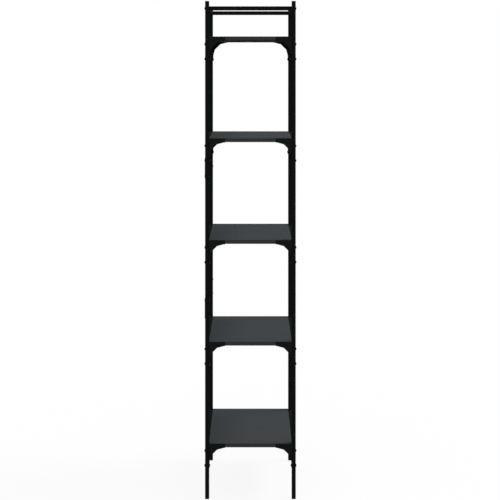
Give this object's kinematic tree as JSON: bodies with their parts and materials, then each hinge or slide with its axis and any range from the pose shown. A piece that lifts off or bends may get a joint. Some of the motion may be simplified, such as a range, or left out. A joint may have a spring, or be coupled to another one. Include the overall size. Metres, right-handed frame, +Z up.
{
  "type": "bookcase",
  "caption": "Tall narrow open bookcase: square tube posts, dark boards in faceted corner brackets, guard rail at the top.",
  "frame": {"origin": "on the floor under the middle of the bookcase", "axes": "+Z up, the front faces -Y, +X to the right seen from the front"},
  "size_m": [0.3454, 0.305, 1.867],
  "materials": {
    "frame_steel": "matt black powder coat",
    "shelf_board": "anthracite melamine faced board with a faint grain",
    "fastener_steel": "blackened steel",
    "plug_plastic": "matt black moulded plastic",
    "plain_steel": "bright zinc, hidden inside the tubes"
  },
  "bodies": {
    "root": {"bracket_1_back_left": "frame_steel", "bracket_1_back_right": "frame_steel", "bracket_1_front_left": "frame_steel", "bracket_1_front_right": "frame_steel", "bracket_2_back_left": "frame_steel", "bracket_2_back_right": "frame_steel", "bracket_2_front_left": "frame_steel", "bracket_2_front_right": "frame_steel", "bracket_3_back_left": "frame_steel", "bracket_3_back_right": "frame_steel", "bracket_3_front_left": "frame_steel", "bracket_3_front_right": "frame_steel", "bracket_4_back_left": "frame_steel", "bracket_4_back_right": "frame_steel", "bracket_4_front_left": "frame_steel", "bracket_4_front_right": "frame_steel", "bracket_5_back_left": "frame_steel", "bracket_5_back_right": "frame_steel", "bracket_5_front_left": "frame_steel", "bracket_5_front_right": "frame_steel", "bracket_bolts": "fastener_steel", "bracket_nuts": "fastener_steel", "post_back_left_lower": "frame_steel", "post_back_left_middle": "frame_steel", "post_back_left_upper": "frame_steel", "post_back_right_lower": "frame_steel", "post_back_right_middle": "frame_steel", "post_back_right_upper": "frame_steel", "post_front_left_lower": "frame_steel", "post_front_left_middle": "frame_steel", "post_front_left_upper": "frame_steel", "post_front_right_lower": "frame_steel", "post_front_right_middle": "frame_steel", "post_front_right_upper": "frame_steel", "rail_bolts": "fastener_steel", "rail_end_inserts": "plain_steel", "shelf_1": "shelf_board", "shelf_2": "shelf_board", "shelf_3": "shelf_board", "shelf_4": "shelf_board", "shelf_5": "shelf_board", "shelf_screws": "fastener_steel", "side_rung_1_left": "frame_steel", "side_rung_1_right": "frame_steel", "side_rung_2_left": "frame_steel", "side_rung_2_right": "frame_steel", "side_rung_3_left": "frame_steel", "side_rung_3_right": "frame_steel", "side_rung_4_left": "frame_steel", "side_rung_4_right": "frame_steel", "side_rung_5_left": "frame_steel", "side_rung_5_right": "frame_steel", "splice_screws": "fastener_steel", "splice_sleeves": "plain_steel", "splice_straps": "frame_steel", "top_rail_back": "frame_steel", "top_rail_front": "frame_steel", "top_rung_left": "frame_steel", "top_rung_right": "frame_steel", "tube_plugs": "plug_plastic"}
  },
  "joints": []
}
